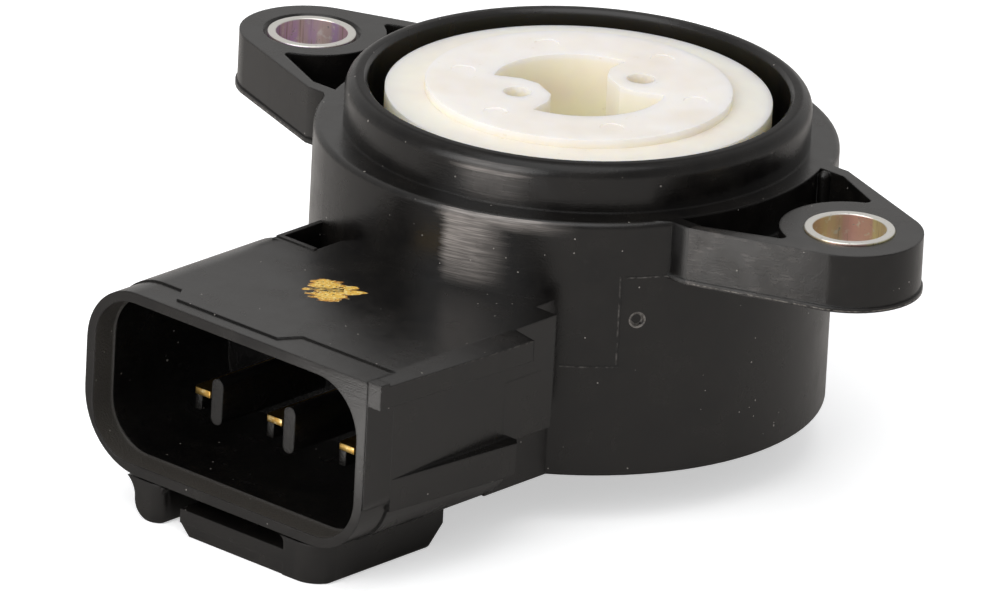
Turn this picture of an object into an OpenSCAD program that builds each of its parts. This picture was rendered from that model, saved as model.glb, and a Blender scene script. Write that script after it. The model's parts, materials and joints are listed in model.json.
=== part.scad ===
// Throttle position sensor with a two-ear flange, a locating spigot and a three-way socket.
// The origin is on the rotor axis in the mounting face. +Z points out of the rotor side,
// the socket points along -Y and the two ears lie along X.

/* [Mounting ears] */
// Distance between the two screw holes
ear_pitch = 60; // [56:0.5:66]
// Plastic left round each bush at the rounded end of an ear
ear_wall = 2.35; // [1.9:0.05:3]
// Half width of an ear at its root
ear_root_half = 9.9; // [8.5:0.1:11]
// How far the corner at the ear's root stands out from the body
ear_root_out = 1.6; // [0.4:0.1:2]
// Thickness of the ears
ear_t = 4.9; // [4.2:0.1:6.5]
// Width of the ridge left beside each pocket
ridge_t = 1.2; // [0.8:0.1:2]
// Depth of the pocket between a boss and the body
pocket_depth = 3.4; // [2:0.1:4]
// Plastic left between the pocket and the well's outer edge
pocket_gap = 0.7; // [0.4:0.1:1.2]
// Radius in the corners of the pockets
pocket_corner_r = 0.5; // [0.3:0.05:0.8]
// How far the boss beside a pocket lies off the hole, away from the socket
boss_shift = 0.4; // [0:0.1:0.8]
// How much less than the ear's end radius the boss has
boss_less = 0.1; // [0:0.05:0.4]
// Distance of the small pip in the right pocket's far corner from the body's right side
pip_in = 1.9; // [1.6:0.1:2.4]
// Distance of that pip from the ridge's root
pip_side = 1.5; // [1.3:0.1:2]
// Diameter of that pip
pip_d = 1; // [0.6:0.1:1.4]
// How far the mould's lip stands out round the foot of an ear
lip_out = 0.15; // [0.05:0.05:0.3]
// Height of that lip
lip_h = 0.4; // [0.2:0.1:0.8]
// Wall of the steel bushes
bush_wall = 0.75; // [0.5:0.05:1]
// Diameter of the screw hole in a bush
bush_id = 6; // [5:0.1:6.2]
// How far the right bush stands proud of its ear
bush_rise = 0.2; // [0.05:0.05:0.4]
// Depth of the groove moulded round the left bush
bush_groove = 0.3; // [0.1:0.1:0.8]
// Width of that groove
bush_ring = 0.4; // [0.2:0.1:0.8]

/* [Body] */
// Width of the mounting shoulder round the spigot
shoulder_w = 2.44; // [1.8:0.02:3.4]
// Depth of the body behind the mounting face
body_depth = 22.05; // [21:0.05:25]
// Outer diameter of the locating spigot
spigot_d = 38.68; // [37.6:0.02:40]
// Height of the locating spigot
spigot_h = 3.98; // [2.5:0.02:5]
// Wall of the locating spigot
spigot_wall = 1.84; // [1.2:0.02:2.6]
// Height of the lead-in cone at the spigot's rim
lead_in_h = 1.1; // [0.4:0.1:1.5]
// How far that cone runs in
lead_in_run = 0.25; // [0.1:0.05:0.5]
// Chamfer on the inner edge of the rim
rim_chamfer = 0.3; // [0.1:0.05:0.5]
// Thickness of the web that carries the rotor
web_t = 3; // [2.4:0.1:4]
// Height of the web's underside above the back face
web_z = 10; // [9.6:0.1:11]
// Diameter of the pin mark in the body's side
pin_mark_d = 1.1; // [0.8:0.1:1.6]
// Depth of the pin mark
pin_mark_depth = 0.35; // [0.2:0.05:0.6]
// Angle of the pin mark round the body
pin_mark_turn = -33.6; // [-36:0.1:-30]
// Height of the pin mark above the back face
pin_mark_z = 13.64; // [12:0.02:15]

/* [Back of the body] */
// Wall of the body round the rear cover
cover_rim = 2.18; // [1.6:0.02:2.8]
// How far the rear cover is let in below the back edge
cover_inset = 0.3; // [0.1:0.1:0.6]
// Thickness of the rear cover
cover_t = 1.8; // [1.4:0.1:2.2]
// Width of the sealant groove round the cover
seal_w = 1.2; // [0.8:0.1:1.6]
// Depth of sealant in that groove
seal_t = 0.7; // [0.4:0.1:0.9]
// Diameter of the cavity behind the web
cavity_d = 28.8; // [28:0.1:30]
// How far the resistor board reaches under the body on each side
board_lap = 1.2; // [0.8:0.1:1.6]
// Clearance round the board in its pocket
board_gap = 0.1; // [0.05:0.05:0.2]
// Thickness of the resistor board
board_t = 0.8; // [0.6:0.1:1.2]
// Thickness of the printed tracks
track_t = 0.06; // [0.03:0.01:0.1]
// Distance of the resistive track's middle from the cavity's wall
track_in = 3.4; // [3:0.1:3.8]
// Width of each printed track
track_w = 1.9; // [1.5:0.1:2.2]
// Distance between the middles of the two tracks
track_step = 3; // [2.6:0.1:3.4]
// Angle that the tracks cover
track_angle = 240; // [180:5:270]

/* [Rotor] */
// Gap between the rotor and the wall of the well
rotor_gap = 1.46; // [0.8:0.02:2]
// Width of the rotor's lower rim
rim_w = 3.32; // [2.6:0.02:4]
// Height of the raised face above the mounting face
face_z = 3.87; // [3:0.01:4.5]
// Step from the raised face down to the rim
face_step = 0.76; // [0.4:0.02:1.2]
// Thickness of the rotor's disc below the step
disc_t = 2.5; // [2:0.1:3]
// Wall of the rotor's skirt
skirt_t = 1.4; // [1:0.1:1.8]
// Gap between the skirt and the web
skirt_gap = 1.6; // [1:0.1:2.4]
// Wall of the rotor's hub round the drive opening
hub_wall = 2.1; // [1.6:0.1:2.6]
// Diameter of the opening that takes the throttle spindle
drive_d = 14.4; // [13.6:0.1:15]
// Distance between the tips of the two drive teeth
tooth_gap = 6.2; // [5.4:0.1:7]
// Width of each tooth's blunt tip
tooth_blunt = 2.6; // [2:0.1:3]
// Length of the steeper nose of each tooth
tooth_nose = 0.9; // [0.6:0.1:1.2]
// Angle that each drive tooth covers
tooth_angle = 70; // [56:1:76]
// Angle of the drive teeth in the rest position
tooth_turn = 65.5; // [0:0.5:90]
// Depth of the drive opening
drive_depth = 9.5; // [6:0.1:10.5]
// Diameter of the small hole in each drive tooth
tooth_hole_d = 2.3; // [1.8:0.1:2.4]
// Distance of that hole from the axis
tooth_hole_at = 5.55; // [5.2:0.05:5.7]
// Depth of that hole
tooth_hole_depth = 4; // [2:0.1:6]
// Diameter of the marks left by the mould's ejector pins
ejector_d = 2; // [1.6:0.1:2.4]
// Distance of those marks from the axis
ejector_at = 9.9; // [9.6:0.1:10.4]
// Depth of those marks
ejector_depth = 0.08; // [0.04:0.02:0.15]
// Diameter of the rotor's journal
journal_d = 10; // [9:0.1:10.4]
// Running clearance round the journal
journal_gap = 0.05; // [0.02:0.01:0.08]
// Length of the journal below the web
journal_tail = 2; // [1.9:0.1:2.2]
// Diameter of the spigot that takes the brush carrier
tail_d = 7; // [6:0.1:7.6]
// Length of that spigot
tail_h = 1.1; // [0.9:0.1:1.3]

/* [Spring and washers] */
// Thickness of the thrust washer
thrust_t = 0.45; // [0.3:0.05:0.6]
// How far the thrust washer's edge lies inside the hub's
thrust_in = 0.8; // [0.4:0.1:1.6]
// Free play above the thrust washer
thrust_gap = 0.05; // [0.02:0.01:0.1]
// Thickness of the wave washer's strip
wave_t = 0.2; // [0.15:0.05:0.25]
// Height of the waves from crest to trough
wave_h = 0.35; // [0.2:0.05:0.4]
// How far the wave washer reaches out beyond the journal
wave_reach = 2.7; // [2:0.1:3]
// How far the retaining ring reaches out beyond the journal
ring_reach = 2.2; // [1.6:0.1:2.6]
// Thickness of the retaining ring
ring_t = 0.6; // [0.4:0.1:0.7]
// Depth of the groove for the retaining ring
ring_groove = 0.6; // [0.4:0.1:0.8]
// Wire of the return spring
spring_wire = 1.2; // [0.8:0.1:1.4]
// Number of turns in the return spring
spring_turns = 3.5; // [2.5:0.5:4]
// Rise of the spring for each turn
spring_pitch = 1.5; // [1.45:0.05:1.7]

/* [Brush] */
// Radius of the brush carrier's round end
carrier_r = 5.8; // [5.2:0.1:6.4]
// Distance between the end of the brush carrier's arm and the cavity's wall
carrier_gap = 1.8; // [1.2:0.1:2]
// Width of the brush carrier's arm
carrier_w = 6; // [5:0.1:7]
// Angle of the arm in the rest position
carrier_turn = 45; // [30:5:60]
// Thickness of the brush spring
brush_t = 0.15; // [0.1:0.01:0.2]
// Width of each brush finger
brush_w = 1.3; // [1:0.1:1.6]
// Gap left between a finger and its track
brush_gap = 0.04; // [0.02:0.01:0.08]

/* [Socket] */
// Distance from the rotor axis to the socket's front edge
socket_y = 41.83; // [40:0.1:46]
// Left side of the socket
socket_left = 15.4; // [15:0.1:17]
// Right side of the socket
socket_right = 15.85; // [15.4:0.1:17.4]
// Height of the socket's top above the back face
socket_top = 15.3; // [14.9:0.1:17]
// How far the socket reaches below the back face
socket_drop = 0.75; // [0.4:0.05:1.5]
// Wall of the socket
socket_wall = 1.2; // [0.9:0.05:1.4]
// Depth of the socket from its front edge
socket_depth = 16; // [14:0.1:17]
// Wall at the bottom of the socket
socket_end_t = 1.8; // [1:0.1:2.2]
// Outer radius of the socket's corners
socket_r = 5.4; // [4.6:0.1:6]
// Radius at the socket's upper right inside corner
key_r = 4.6; // [3.8:0.1:5]
// Depth of the wider band in the socket's mouth
mouth_depth = 2.2; // [1:0.1:2.6]
// How much wider that band is on each side
mouth_out = 0.15; // [0.1:0.05:0.25]
// Length of the thinner band at the socket's front edge
band_l = 3.2; // [2.4:0.1:4]
// How far that band lies below the socket's outside
band_step = 0.14; // [0.06:0.02:0.2]
// Left end of the full-height patch in the middle of the band
patch_left = 8.2; // [6:0.1:9]
// Right end of that patch
patch_right = 5.8; // [4:0.1:8]
// Distance of the patch from the front edge
patch_y = 1.4; // [0.8:0.1:2]
// How far the ledge on the right stands out at the front
ledge_front = 1.35; // [0.8:0.05:2]
// How far the ledge stands out at the back
ledge_back = 2.1; // [1.2:0.05:2.6]
// Height of the ledge
ledge_h = 2.15; // [1.6:0.05:3]
// Drop of the sloping strip along the ledge
ledge_slope = 0.5; // [0.2:0.05:0.8]
// Distance from the rotor axis to the back end of the ledge
ledge_end = 24.35; // [23:0.05:25]
// How far the fin on the right stands out at the back
fin_out = 1.3; // [0.6:0.05:1.8]
// Height of the fin
fin_h = 2.8; // [2:0.1:3.4]
// Height of the fin's foot above the back face
fin_z = 3.1; // [2.4:0.1:3.6]
// Distance from the rotor axis to the back end of the block on the socket's right
block_end = 19.4; // [18.6:0.1:20.4]
// Height of the block's foot above the back face
block_z = 5.5; // [4.8:0.1:6.4]
// Left side of the neck between the socket and the body
neck_left = 11.1; // [10:0.1:12.4]
// Right side of that neck
neck_right = 13.5; // [12:0.1:14.4]
// Wall left round the core at the neck's upper left
core_wall = 0.45; // [0.35:0.05:0.8]
// Right side of that core
core_right = 6.9; // [6:0.1:8]
// Depth of that core
core_depth = 6; // [3:0.1:7]
// How far the rim round that core stands above the socket's top
core_rim = 0.1; // [0.05:0.05:0.2]

/* [Latch] */
// How far the legs reach below the back face
leg_drop = 4.1; // [3.6:0.05:5]
// Outer side of the left leg
leg_left_out = 9.2; // [8.8:0.1:9.8]
// Inner side of the left leg
leg_left_in = 6.3; // [6:0.1:7]
// Inner side of the right leg
leg_right_in = 7.4; // [7:0.1:8]
// Outer side of the right leg
leg_right_out = 11.4; // [11:0.1:12]
// Length of the legs behind the front edge
leg_l = 14.8; // [12:0.1:16]
// Cut at the lower back corner of each leg
leg_cut = 1.8; // [1:0.1:2.4]
// Radius at the left leg's lower outer corner
leg_foot_r = 1.6; // [0.8:0.1:1.8]
// Radius of the hollow between the left leg and the socket's corner
leg_hollow_r = 2; // [1.2:0.1:2.4]
// Radius of the right leg's front corner
leg_front_r = 2.4; // [1.2:0.1:2.8]
// Radius of the left leg's front inner corner
leg_inner_r = 1.2; // [0.4:0.1:1.6]
// Radius in the upper corners between the legs
leg_slot_r = 0.6; // [0.3:0.1:1]
// Left end of the latch bar
bar_left = 4.1; // [3.4:0.1:5]
// Height of the latch bar
bar_h = 2.2; // [1.6:0.05:2.4]
// Depth of the latch bar
bar_y = 3; // [2:0.1:4]
// Chamfer on the lower left edge of the bar
bar_cut = 1; // [0.6:0.1:1.2]
// Height of the lower part of the bar's front, which is set back
bar_step_h = 1; // [0.6:0.1:1.4]
// How far that part is set back
bar_step = 0.1; // [0.05:0.05:0.3]

/* [Terminals] */
// Distance between neighbouring terminals
pin_pitch = 8.04; // [7.6:0.02:8.4]
// Width of a terminal
pin_w = 2; // [1.6:0.1:2.2]
// Thickness of a terminal
pin_t = 0.62; // [0.5:0.02:0.8]
// Height of the terminals above the back face
pin_z = 5.55; // [5.3:0.05:5.8]
// Distance of the terminals' tips behind the front edge
pin_inset = 6.1; // [5:0.1:8]
// Distance of the terminals' inner ends from the cavity's wall
blade_in = 2.2; // [1.8:0.1:2.6]
// Taper at each side of a terminal's tip
pin_taper = 0.2; // [0.1:0.05:0.4]
// Height of the ribs between the terminals
rib_h = 4; // [3:0.1:4.6]
// Thickness of the ribs
rib_t = 1.2; // [0.9:0.1:1.5]
// Distance of the ribs behind the front edge
rib_inset = 3.5; // [2.4:0.1:5]
// Height of the ribs' middle above the terminals' middle
rib_lift = 1.05; // [0.5:0.05:1.4]
// Thickness of the post under each terminal
post_t = 0.7; // [0.5:0.05:0.9]
// Height of that post
post_h = 1.4; // [1:0.1:1.8]
// Radius of each solder joint
solder_r = 1.5; // [1.2:0.1:1.7]
// Height of each solder joint above its terminal
solder_h = 0.3; // [0.2:0.05:0.5]

/* [Hidden] */
$fn = 96;
e = 0.5;
// How far a side or a round that touches another one is set into it, so that the two truly cross
bite = 0.01;
// How far the corners that lie inside other material are pushed into it
push = 0.05;

back_z = -body_depth;
body_d = spigot_d + 2 * shoulder_w;
body_r = body_d / 2;
well_d = spigot_d - 2 * spigot_wall;
bush_od = bush_id + 2 * bush_wall;
ear_end_r = bush_od / 2 + ear_wall;
boss_r = ear_end_r - boss_less;
hole_x = ear_pitch / 2;
web_top = back_z + web_z + web_t;
cover_top = back_z + cover_inset + cover_t;
pin_mid = back_z + pin_z;
board_top = pin_mid - pin_t / 2;
track_top = board_top + track_t;
cover_seat_d = body_d - 2 * cover_rim;
board_d = cavity_d + 2 * board_lap;
board_seat_r = board_d / 2 + board_gap;
blade_r = cavity_d / 2 - blade_in;
track_r = cavity_d / 2 - track_in;
collector_r = track_r - track_step;

rotor_d = well_d - 2 * rotor_gap;
face_d = rotor_d - 2 * rim_w;
hub_d = drive_d + 2 * hub_wall;
thrust_d = hub_d - 2 * thrust_in;
wave_d = journal_d + 2 * wave_reach;
ring_d = journal_d + 2 * ring_reach;
carrier_reach = cavity_d / 2 - carrier_gap;
rim_z = face_z - face_step;
disc_z = rim_z - disc_t;
skirt_z = web_top + skirt_gap;
hub_z = web_top + thrust_t + thrust_gap;
journal_r = journal_d / 2;
journal_z = back_z + web_z - journal_tail;
bore_r = journal_r + journal_gap;
wave_top = back_z + web_z - 0.02;
ring_top = wave_top - wave_h - wave_t - 0.03;
tail_z = journal_z - tail_h;
stake_h = 0.4;
stake_r = tail_d / 2 + 0.6;

spring_r = (hub_d / 2 + rotor_d / 2 - skirt_t) / 2;
spring_z = web_top + spring_wire / 2 + 0.3;
spring_leg = 1.4;
spring_foot_turn = 250;

socket_z = back_z - socket_drop;
socket_top_z = back_z + socket_top;
socket_end = socket_y - socket_depth;
socket_back = socket_end - socket_end_t;
leg_z = back_z - leg_drop;
socket_low_r = socket_r + 1;
neck_end = (cavity_d + well_d) / 4;
beyond = 2 * socket_y;
pins_x = (socket_right - socket_left) / 2;
mark_count = 6;
mark_turn = 28;

// Point where a line from p touches a circle of radius r round [c, 0], on the side away from the axis
function tangent_at(p, c, r) =
    let (dx = p[0] - c, dy = p[1], d = sqrt(dx * dx + dy * dy), a = atan2(dy, dx) - acos(r / d))
    [c + r * cos(a), r * sin(a)];

// Corner at an ear's root, half to the side of the ear's middle line
function ear_root(half) =
    [sqrt(pow(body_r + ear_root_out, 2) - half * half), half];

// Plan of one ear and its mirror-equal other half, from inside the body out to the hole
module ear_plan(half, r) {
    root = ear_root(half);
    t = tangent_at(root, hole_x, r - bite);
    polygon([[0, -half], [root[0], -root[1]], [t[0], -t[1]], [hole_x, 0], t, root, [0, half]]);
    translate([hole_x, 0])
        circle(r);
}

module ear() {
    translate([0, 0, -ear_t])
        linear_extrude(ear_t)
            ear_plan(ear_root_half, ear_end_r);
    translate([0, 0, -ear_t])
        linear_extrude(lip_h)
            ear_plan(ear_root_half + lip_out, ear_end_r + lip_out);
}

// Point where the line through p along u meets a circle of radius r round c; way picks the nearer or farther
function line_meets(p, u, c, r, way) =
    let (d = p - c, b = d * u)
    p + u * (way * sqrt(b * b - d * d + r * r) - b);

// What rounds off the corner between a pocket's ridge, the line through p along u, and a round wall of
// radius r round c that stands into the pocket; out is the ridge's side of the line
module corner_fill(p, u, out, c, r, way) {
    near = pocket_corner_r - bite;
    q = line_meets(p - out * near, u, c, r + near, way);
    tip = line_meets(p, u, c, r, way);
    inner = tip + (out + (c - tip) / norm(c - tip)) * push;
    touch = q + (c - q) / norm(c - q) * (near + push);
    difference() {
        polygon([q, q + out * (near + push), inner, touch]);
        translate(q)
            circle(pocket_corner_r);
    }
}

// The crescent between the boss, the body and the two side ridges
module ear_pocket() {
    half = ear_root_half - ridge_t;
    end_r = ear_end_r - 1.5 * ridge_t;
    root = ear_root(half);
    end = tangent_at(root, hole_x, end_r - bite);
    u = (end - root) / norm(end - root);
    out = [-u[1], u[0]];
    translate([0, 0, -pocket_depth])
        linear_extrude(pocket_depth + e)
            difference() {
                ear_plan(half, end_r);
                circle(body_r - pocket_gap);
                translate([hole_x, boss_shift])
                    circle(boss_r);
                for (side = [-1, 1]) {
                    p = [root[0], root[1] * side];
                    along = [u[0], u[1] * side];
                    outward = [out[0], out[1] * side];
                    corner_fill(p, along, outward, [0, 0], body_r - pocket_gap, 1);
                    corner_fill(p, along, outward, [hole_x, boss_shift], boss_r, -1);
                }
            }
}

// Round-topped pip that stands in the far corner of the right pocket
module pocket_pip() {
    translate([body_r - pip_in, ear_root_half - pip_side, -pocket_depth - e]) {
        cylinder(d = pip_d, h = pocket_depth);
        translate([0, 0, pocket_depth])
            sphere(d = pip_d);
    }
}

// Rectangle from a to b with its own radius at each corner, counted from the lower left, anticlockwise
module corner_box(a, b, radii) {
    corners = [a, [b[0], a[1]], b, [a[0], b[1]]];
    inward = [[1, 1], [-1, 1], [-1, -1], [1, -1]];
    difference() {
        translate(a)
            square([b[0] - a[0], b[1] - a[1]]);
        for (i = [0:3])
            if (radii[i] > 0)
                translate(corners[i])
                    scale_corner(inward[i], radii[i]);
    }
}

// What a round corner of radius r takes off a square one, turned to face the quadrant q
module scale_corner(q, r) {
    mirror([q[0] < 0 ? 1 : 0, 0])
        mirror([0, q[1] < 0 ? 1 : 0])
            difference() {
                translate([-e, -e])
                    square(r + e);
                translate([r, r])
                    circle(r);
            }
}

// Extrudes a front view, drawn in X and Z, along Y from y0 back to y1
module along_y(y0, y1) {
    translate([0, y1, 0])
        rotate([90, 0, 0])
            linear_extrude(y1 - y0)
                children();
}

module socket_outline(inset) {
    corner_box([-socket_left + inset, socket_z + inset], [socket_right - inset, socket_top_z - inset],
               [socket_low_r - inset, socket_r - inset, 0.3, socket_r - inset]);
}

module socket_opening(out) {
    wall = socket_wall - out;
    corner_box([-socket_left + wall, socket_z + wall], [socket_right - wall, socket_top_z - wall],
               [socket_r - socket_wall, socket_r - socket_wall, key_r, socket_r - socket_wall]);
}

// The thinner band at the front edge, as a ring to cut away, less the patch that keeps full height
module front_band() {
    difference() {
        along_y(-socket_y - e, -socket_y + band_l)
            difference() {
                square(2 * beyond, center = true);
                socket_outline(band_step);
            }
        along_y(-socket_y - 2 * e, -socket_y + band_l + e)
            translate([socket_right - 0.05, socket_z - beyond])
                square(2 * beyond);
        along_y(-socket_y - 2 * e, -socket_y + band_l + e)
            translate([-beyond, socket_z - beyond])
                square([2 * beyond, beyond]);
        translate([0, 0, socket_top_z - 1])
            linear_extrude(beyond)
                polygon([[-patch_left, -socket_y + band_l + e], [-patch_left + patch_y, -socket_y + patch_y],
                         [patch_right - patch_y, -socket_y + patch_y], [patch_right, -socket_y + band_l + e]]);
    }
}

module ledge() {
    top = socket_top_z;
    difference() {
        translate([0, 0, top - ledge_h])
            linear_extrude(ledge_h)
                polygon([[socket_right - 1, -socket_y], [socket_right + ledge_front, -socket_y],
                         [socket_right + ledge_back, -ledge_end], [socket_right - 1, -ledge_end]]);
        translate([0, 1, 0])
            along_y(-socket_y, -ledge_end + e)
                polygon([[socket_right - 0.3, top], [socket_right + ledge_back + 1, top - ledge_slope],
                         [socket_right + ledge_back + 1, top + 1], [socket_right - 0.3, top + 1]]);
    }
}

module fin() {
    translate([0, 0, back_z + fin_z])
        linear_extrude(fin_h)
            polygon([[socket_right - 1, -socket_y + band_l], [socket_right, -socket_y + band_l],
                     [socket_right + fin_out, -ledge_end - 0.6], [socket_right + fin_out - 0.6, -ledge_end],
                     [socket_right - 1, -ledge_end]]);
}

// One leg of the latch guard, with its lower back corner cut off; foot gives the radii of its two lower
// corners and front those of its two front corners, left one first
module leg(x0, x1, foot, front) {
    end = -socket_y + leg_l;
    top = socket_z + socket_wall / 2;
    difference() {
        intersection() {
            along_y(-socket_y, end)
                corner_box([x0, leg_z], [x1, top], [foot[0], foot[1], 0, 0]);
            translate([x0, 0, 0])
                rotate([90, 0, 90])
                    linear_extrude(x1 - x0)
                        polygon([[-socket_y, leg_z], [end - leg_cut, leg_z], [end, leg_z + leg_cut],
                                 [end, top], [-socket_y, top]]);
        }
        translate([0, 0, leg_z - e])
            linear_extrude(top - leg_z + 2 * e) {
                if (front[0] > 0)
                    translate([x0, -socket_y])
                        scale_corner([1, 1], front[0]);
                if (front[1] > 0)
                    translate([x1, -socket_y])
                        scale_corner([-1, 1], front[1]);
            }
    }
}

// Hollow between the left leg's outer side and the round corner of the socket above it
module leg_hollow() {
    r = leg_hollow_r;
    c = [-socket_left + socket_low_r, socket_z + socket_low_r];
    near = r - bite;
    x = -leg_left_out - near;
    q = [x, c[1] - sqrt(pow(socket_low_r + near, 2) - pow(x - c[0], 2))];
    touch = q + (c - q) / norm(c - q) * (near + push);
    along_y(-socket_y, -socket_y + leg_l - leg_cut)
        difference() {
            polygon([q, [x + r + push, q[1]], [x + r + push, socket_z + socket_wall / 2],
                     [touch[0], touch[1] + socket_wall / 2], touch]);
            translate(q)
                circle(r);
        }
}

// Rounding in the corner where a leg's inner side, at x, meets the socket's underside
module slot_corner(x, way) {
    along_y(-socket_y, -socket_y + leg_l - leg_cut)
        translate([x, socket_z])
            difference() {
                translate([way > 0 ? -push : -leg_slot_r, -leg_slot_r])
                    square([leg_slot_r + push, leg_slot_r + push]);
                translate([way * leg_slot_r, -leg_slot_r])
                    circle(leg_slot_r);
            }
}

module latch_bar() {
    top = leg_z + bar_h;
    step_z = leg_z + bar_step_h;
    right = leg_right_in + 0.1;
    intersection() {
        along_y(-socket_y, -socket_y + bar_y)
            polygon([[-bar_left, top], [-bar_left, leg_z + bar_cut], [-bar_left + bar_cut, leg_z],
                     [right, leg_z], [right, top]]);
        translate([-bar_left, 0, 0])
            rotate([90, 0, 90])
                linear_extrude(bar_left + right)
                    polygon([[-socket_y, top], [-socket_y, step_z], [-socket_y + bar_step, step_z],
                             [-socket_y + bar_step, leg_z], [-socket_y + bar_y, leg_z],
                             [-socket_y + bar_y, top]]);
    }
}

// Neck, the block beside it and the raised rim round the core at its upper left
module neck() {
    front = -socket_back - e;
    translate([-neck_left, front, back_z])
        cube([neck_left + neck_right, -neck_end - front, socket_top]);
    translate([neck_right - e, front, back_z + block_z])
        cube([socket_right - neck_right + e, -block_end - front, socket_top - block_z]);
    translate([-neck_left, -socket_back, socket_top_z - e])
        cube([neck_left - core_right, core_wall, core_rim + e]);
    translate([-neck_left, -socket_back, socket_top_z - e])
        cube([core_wall, socket_back - neck_end, core_rim + e]);
}

module socket_solid() {
    along_y(-socket_y, -socket_back)
        socket_outline(0);
    neck();
    ledge();
    fin();
    leg(-leg_left_out, -leg_left_in, [leg_foot_r, 0.3], [0, leg_inner_r]);
    leg(leg_right_in, leg_right_out, [0, 0.3], [0, leg_front_r]);
    leg_hollow();
    slot_corner(-leg_left_in, 1);
    slot_corner(leg_right_in, -1);
    latch_bar();
}

module socket_hollow() {
    along_y(-socket_y - e, -socket_end)
        socket_opening(0);
    along_y(-socket_y - e, -socket_y + mouth_depth)
        socket_opening(mouth_out);
}

// The core taken out of the neck's upper left, between the socket and the body
module neck_core() {
    front = -socket_back + core_wall;
    translate([-neck_left + core_wall, front, socket_top_z - core_depth])
        cube([neck_left - core_wall - core_right, -neck_end - front, core_depth + 2 * e]);
}

module pin_mark() {
    rotate([0, 0, pin_mark_turn])
        translate([body_r - pin_mark_depth, 0, back_z + pin_mark_z])
            rotate([0, 90, 0])
                cylinder(d = pin_mark_d, h = pin_mark_depth + e);
}

module socket_ribs() {
    for (side = [-0.5, 0.5])
        translate([pins_x + side * pin_pitch, 0, pin_mid + rib_lift])
            along_y(-socket_y + rib_inset, -socket_end + e)
                corner_box([-rib_t / 2, -rib_h / 2], [rib_t / 2, rib_h / 2], [for (i = [0:3]) rib_t * 0.49]);
    for (i = [-1:1])
        translate([pins_x + i * pin_pitch - pin_w / 2, -socket_y + pin_inset + 0.3, board_top - post_h])
            cube([post_t, socket_depth - pin_inset - 0.3 + e, post_h]);
}

// Blade of terminal i, counted from the left: -1, 0, 1
module blade(i) {
    x = pins_x + i * pin_pitch;
    far = sqrt(blade_r * blade_r - x * x);
    tip = -socket_y + pin_inset;
    translate([x, 0, board_top])
        linear_extrude(pin_t) {
            polygon([[-pin_w / 2, tip + 2 * pin_taper], [-pin_w / 2 + pin_taper, tip],
                     [pin_w / 2 - pin_taper, tip], [pin_w / 2, tip + 2 * pin_taper],
                     [pin_w / 2, -far], [-pin_w / 2, -far]]);
            translate([-pin_w * 0.75, -socket_back + 1])
                square([pin_w * 1.5, 1.4]);
        }
}

module solder(i) {
    x = pins_x + i * pin_pitch;
    color([0.75, 0.76, 0.78])
        difference() {
            translate([x, -sqrt(blade_r * blade_r - x * x) + 0.1, board_top])
                cylinder(r1 = solder_r, r2 = solder_r * 0.7, h = pin_t + solder_h);
            blade(i);
            translate([0, 0, back_z])
                difference() {
                    cylinder(r = body_r, h = body_depth);
                    translate([0, 0, -e])
                        cylinder(d = cavity_d, h = body_depth + 2 * e);
                }
        }
}

module back_cavities() {
    translate([0, 0, back_z - e]) {
        cylinder(d = cover_seat_d, h = cover_inset + cover_t + e);
        cylinder(r = board_seat_r, h = board_top - back_z + e);
        cylinder(d = cavity_d, h = web_z + e);
    }
}

module front_well() {
    translate([0, 0, web_top])
        cylinder(d = well_d, h = spigot_h - web_top + e);
    translate([0, 0, spigot_h - rim_chamfer])
        cylinder(d1 = well_d, d2 = well_d + 2 * (rim_chamfer + e), h = rim_chamfer + e);
}

module spigot() {
    straight = spigot_h - lead_in_h;
    translate([0, 0, -1])
        cylinder(d = spigot_d, h = straight + 1);
    translate([0, 0, straight])
        cylinder(d1 = spigot_d, d2 = spigot_d - 2 * lead_in_run, h = lead_in_h);
}

module bush_hole(side, groove) {
    translate([side * hole_x, 0, -ear_t - e])
        cylinder(d = bush_od, h = ear_t + 2 * e);
    if (groove > 0)
        translate([side * hole_x, 0, -groove])
            cylinder(d1 = bush_od + bush_ring, d2 = bush_od + 2 * bush_ring, h = groove + 0.01);
}

module housing() {
    color([0.16, 0.16, 0.155])
        difference() {
            union() {
                difference() {
                    union() {
                        translate([0, 0, back_z])
                            cylinder(d = body_d, h = body_depth);
                        spigot();
                        ear();
                        mirror([1, 0, 0])
                            ear();
                        socket_solid();
                    }
                    ear_pocket();
                    mirror([1, 0, 0])
                        ear_pocket();
                    back_cavities();
                    front_well();
                    socket_hollow();
                    front_band();
                    difference() {
                        neck_core();
                        translate([0, 0, back_z])
                            cylinder(d = body_d, h = body_depth);
                    }
                }
                socket_ribs();
                pocket_pip();
            }
            pin_mark();
            translate([0, 0, back_z])
                cylinder(r = bore_r, h = body_depth + spigot_h);
            translate(off_tangent(spring_r, spring_foot_turn, -spring_wire, web_top - spring_leg))
                cylinder(d = spring_wire + 0.4, h = spring_leg + e);
            bush_hole(-1, bush_groove);
            bush_hole(1, 0);
            for (i = [-1:1])
                blade(i);
        }
}

module bush(side, rise) {
    color([0.8, 0.8, 0.78])
        translate([side * hole_x, 0, -ear_t])
            difference() {
                cylinder(d = bush_od, h = ear_t + rise);
                translate([0, 0, -e])
                    cylinder(d = bush_id, h = ear_t + rise + 2 * e);
            }
}

module terminal(i) {
    color([0.86, 0.72, 0.36])
        blade(i);
}

// The opening for the throttle spindle: a round hole with two teeth that reach in from its wall
module drive_plan() {
    r = drive_d / 2;
    difference() {
        circle(r);
        for (s = [0, 180])
            rotate([0, 0, tooth_turn + s])
                tooth_plan(r);
    }
}

module tooth_plan(r) {
    half = tooth_angle / 2;
    tip = tooth_gap / 2;
    nose = tip + tooth_nose;
    far = 2 * r;
    polygon([[tip, -tooth_blunt / 2], [nose, -nose * tan(half)], [far * cos(half), -far * sin(half)],
             [far, 0], [far * cos(half), far * sin(half)], [nose, nose * tan(half)], [tip, tooth_blunt / 2]]);
}

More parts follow.
